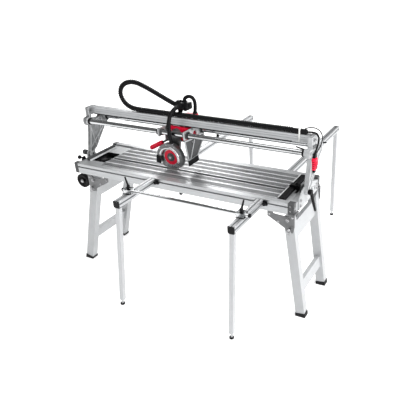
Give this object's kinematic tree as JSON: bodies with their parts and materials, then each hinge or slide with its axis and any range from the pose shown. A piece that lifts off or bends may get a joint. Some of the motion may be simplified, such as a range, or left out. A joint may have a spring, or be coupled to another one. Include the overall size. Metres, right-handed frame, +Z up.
{
  "type": "wet tile saw",
  "caption": "Bridge tile saw on folding trestles: a water-cooled blade head slides along a tilting gantry over a ribbed table with side extension arms.",
  "frame": {"origin": "on the floor, at the middle of the whole footprint, front legs to rear arms", "axes": "+X to the right along the cut, +Y from the user's side to the back, +Z up"},
  "size_m": [1.8087, 1.79, 1.3414],
  "materials": {
    "aluminium_rail": "satin",
    "aluminium_plank": "satin",
    "cast_light": "satin",
    "cast_dark": "satin",
    "steel": "satin",
    "zinc_sheet": "satin",
    "painted_leg": "satin",
    "bracket_grey": "satin",
    "black_plastic": "plain",
    "rubber": "plain",
    "tyre": "plain",
    "red_plastic": "plain",
    "red_blade": "satin",
    "arm_grey": "satin",
    "chrome": "plain",
    "button_black": "plain"
  },
  "bodies": {
    "table": {"front_rail": "aluminium_rail", "rear_rail": "aluminium_rail", "end_beams": "aluminium_rail", "corner_blocks": "cast_dark", "table_planks": "aluminium_plank", "plank_bearers": "zinc_sheet", "water_tray": "zinc_sheet", "tray_covers": "zinc_sheet", "splash_lip": "rubber", "end_strip": "black_plastic", "water_pump": "black_plastic", "pivot_brackets": "cast_light", "pivot_pins": "steel", "trestle_brackets": "bracket_grey", "wheel_bracket": "bracket_grey"},
    "wheels": {"transport_wheels": "tyre"},
    "drain": {"drain_tap": "black_plastic"},
    "left_trestle": {"left_trestle_frame": "painted_leg", "left_trestle_feet": "rubber"},
    "right_trestle": {"right_trestle_frame": "painted_leg", "right_trestle_feet": "rubber"},
    "left_pin": {"left_lock_pin": "steel"},
    "right_pin": {"right_lock_pin": "steel"},
    "gantry": {"left_gantry_support": "cast_light", "right_gantry_support": "cast_light", "gantry_beam": "aluminium_rail", "beam_seal": "rubber", "guide_tubes": "chrome", "beam_hose": "rubber", "switch_box": "red_plastic", "switch_cable": "rubber"},
    "button": {"power_button": "button_black"},
    "tilt_lever": {"tilt_lock_lever": "black_plastic"},
    "carriage": {"carriage_frame": "cast_light", "tube_bushings": "black_plastic", "motor_housing": "red_plastic", "hose_bracket": "black_plastic", "splash_shield": "zinc_sheet", "motor_cable": "rubber", "hose_loop": "rubber"},
    "rotor": {"motor_rotor": "steel"},
    "arm": {"arm_housing": "arm_grey", "arm_cover": "arm_grey", "drive_belt": "rubber", "blade_guard": "arm_grey", "blade_hose": "rubber", "handle_stem": "black_plastic", "handle_grip": "red_plastic"},
    "blade": {"arbor_shaft": "steel", "blade_flanges": "steel", "saw_blade": "red_blade"},
    "front_extension": {"front_arms": "aluminium_rail", "front_legs": "aluminium_rail"},
    "stop_fence": {"stop_bar": "aluminium_rail"},
    "stop_left_clamp": {"stop_bar_left_lever": "black_plastic"},
    "stop_right_clamp": {"stop_bar_right_lever": "black_plastic"},
    "rear_left": {"rear_left_arm": "aluminium_rail"},
    "rear_right": {"rear_right_arm": "aluminium_rail"},
    "rear_left_clamp": {"rear_left_lever": "black_plastic"},
    "rear_right_clamp": {"rear_right_lever": "black_plastic"}
  },
  "joints": [
    {"name": "left_trestle_fold", "type": "hinge", "parent": "table", "child": "left_trestle", "pos_m": [-0.67, -0.305, 0.692], "axis": [0, -1, 0], "range_deg": [0, 105]},
    {"name": "right_trestle_fold", "type": "hinge", "parent": "table", "child": "right_trestle", "pos_m": [0.785, -0.305, 0.692], "axis": [0, 1, 0], "range_deg": [0, 96]},
    {"name": "left_lock_push", "type": "slide", "parent": "table", "child": "left_pin", "axis": [0, 1, 0], "range_m": [0, 0.014]},
    {"name": "right_lock_push", "type": "slide", "parent": "table", "child": "right_pin", "axis": [0, 1, 0], "range_m": [0, 0.014]},
    {"name": "wheel_spin", "type": "hinge", "parent": "table", "child": "wheels", "pos_m": [-0.841, -0.305, 0.63], "axis": [0, 1, 0], "continuous": true},
    {"name": "drain_turn", "type": "hinge", "parent": "table", "child": "drain", "pos_m": [0, -0.455, 0.7], "axis": [0, 0, 1], "range_deg": [0, 90]},
    {"name": "gantry_tilt", "type": "hinge", "parent": "table", "child": "gantry", "pos_m": [0, -0.366, 0.815], "axis": [1, 0, 0], "range_deg": [0, 45]},
    {"name": "tilt_lever_turn", "type": "hinge", "parent": "table", "child": "tilt_lever", "pos_m": [0.862, -0.366, 0.815], "axis": [1, 0, 0], "range_deg": [-35, 25]},
    {"name": "button_press", "type": "slide", "parent": "gantry", "child": "button", "axis": [-1, 0, 0], "range_m": [0, 0.004], "stiffness_N_per_m": 1500},
    {"name": "carriage_slide", "type": "slide", "parent": "gantry", "child": "carriage", "axis": [1, 0, 0], "range_m": [-0.41, 0.66], "deforming": ["hose_loop"]},
    {"name": "motor_spin", "type": "hinge", "parent": "carriage", "child": "rotor", "pos_m": [-0.085, -0.305, 1.04], "axis": [0, 1, 0], "continuous": true},
    {"name": "arm_swing", "type": "hinge", "parent": "carriage", "child": "arm", "pos_m": [-0.085, -0.305, 1.04], "axis": [0, 1, 0], "range_deg": [0, 24], "deforming": ["blade_hose"]},
    {"name": "blade_spin", "type": "hinge", "parent": "arm", "child": "blade", "pos_m": [-0.112, -0.305, 0.888], "axis": [0, 1, 0], "continuous": true},
    {"name": "front_extension_slide", "type": "slide", "parent": "table", "child": "front_extension", "axis": [1, 0, 0], "range_m": [-0.5, 0.12]},
    {"name": "stop_bar_slide", "type": "slide", "parent": "front_extension", "child": "stop_fence", "axis": [0, 1, 0], "range_m": [-0.08, 0.15]},
    {"name": "stop_left_lever_turn", "type": "hinge", "parent": "stop_fence", "child": "stop_left_clamp", "pos_m": [-0.155, -0.766, 0.83], "axis": [0, 0, 1], "range_deg": [-40, 40]},
    {"name": "stop_right_lever_turn", "type": "hinge", "parent": "stop_fence", "child": "stop_right_clamp", "pos_m": [0.612, -0.766, 0.83], "axis": [0, 0, 1], "range_deg": [-40, 40]},
    {"name": "rear_left_slide", "type": "slide", "parent": "table", "child": "rear_left", "axis": [1, 0, 0], "range_m": [-0.5, 0.35]},
    {"name": "rear_right_slide", "type": "slide", "parent": "table", "child": "rear_right", "axis": [1, 0, 0], "range_m": [-0.3, 0.12]},
    {"name": "rear_left_lever_turn", "type": "hinge", "parent": "rear_left", "child": "rear_left_clamp", "pos_m": [-0.155, 0.315, 0.8], "axis": [0, 0, 1], "range_deg": [-40, 40]},
    {"name": "rear_right_lever_turn", "type": "hinge", "parent": "rear_right", "child": "rear_right_clamp", "pos_m": [0.612, 0.465, 0.8], "axis": [0, 0, 1], "range_deg": [-40, 40]}
  ],
  "couplings": [
    {"joint": "blade_spin", "follows": "motor_spin", "ratio": 0.8}
  ]
}
